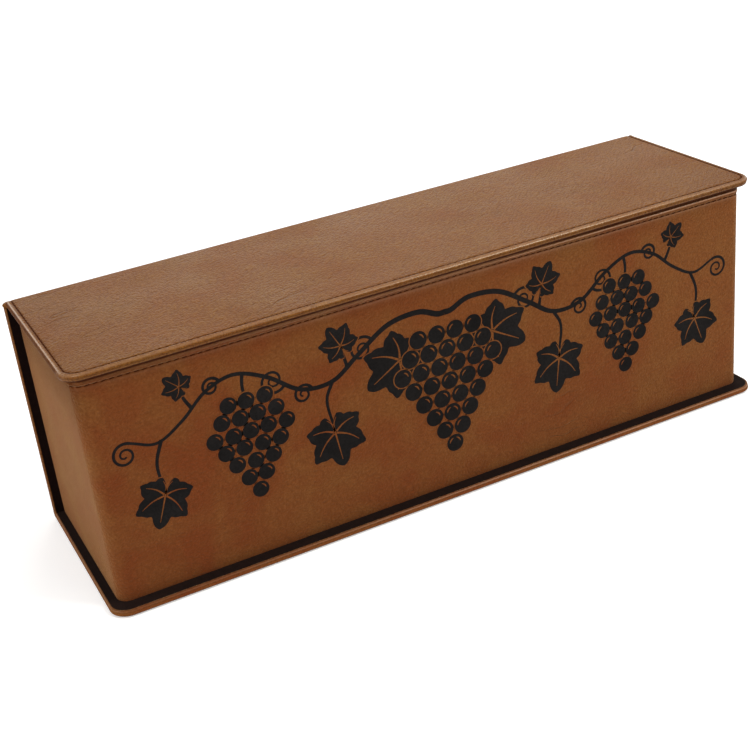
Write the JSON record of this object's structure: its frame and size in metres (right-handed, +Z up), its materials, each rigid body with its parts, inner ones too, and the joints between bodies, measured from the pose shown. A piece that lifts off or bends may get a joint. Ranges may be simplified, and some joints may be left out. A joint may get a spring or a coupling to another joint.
{
  "type": "wine gift box",
  "caption": "Leatherette wine gift box: a book style case with a fabric hinged lid and magnets, round a stitched tray with a flocked cradle for a bottle",
  "frame": {"origin": "the middle of the box's footprint on the surface it stands on", "axes": "+X along the box to the right as seen from the front, +Y from the front to the hinge at the back, +Z up"},
  "size_m": [0.362, 0.108, 0.12],
  "materials": {
    "tan_leatherette": "embossed leatherette with a soft satin sheen, mottled tan brown",
    "greyboard": "dense grey bookbinder's board",
    "black_lining": "matt black fine woven lining cloth",
    "fibreboard": "raw medium density fibreboard",
    "brown_thread": "dark brown twisted sewing thread",
    "magnet_steel": "nickel plated bar magnets",
    "flocked_foam": "black flocked foam, soft and matt"
  },
  "bodies": {
    "box": {"base_wrap": "tan_leatherette", "base_thread": "brown_thread", "base_board": "greyboard", "base_lining": "black_lining", "bottom_fold": "tan_leatherette", "bottom_cloth": "black_lining", "spine_wrap": "tan_leatherette", "spine_thread": "brown_thread", "spine_board": "greyboard", "spine_lining": "black_lining", "top_fold": "tan_leatherette", "hinge_cloth": "black_lining", "tray_front_wall": "fibreboard", "rim_magnets": "magnet_steel", "tray_back_wall": "fibreboard", "tray_left_wall": "fibreboard", "tray_right_wall": "fibreboard", "tray_floor": "fibreboard", "tray_wrap": "tan_leatherette", "rim_thread": "brown_thread", "tray_lining": "black_lining", "bottle_cradle": "flocked_foam"},
    "lid": {"lid_wrap": "tan_leatherette", "lid_board": "greyboard", "lid_lining": "black_lining", "lid_thread": "brown_thread", "lid_magnets": "magnet_steel"}
  },
  "joints": [
    {"name": "lid_hinge", "type": "hinge", "parent": "box", "child": "lid", "pos_m": [0, 0.05278, 0.11878], "axis": [-1, 0, 0], "range_deg": [0, 180], "deforming": ["top_fold", "hinge_cloth"]}
  ]
}
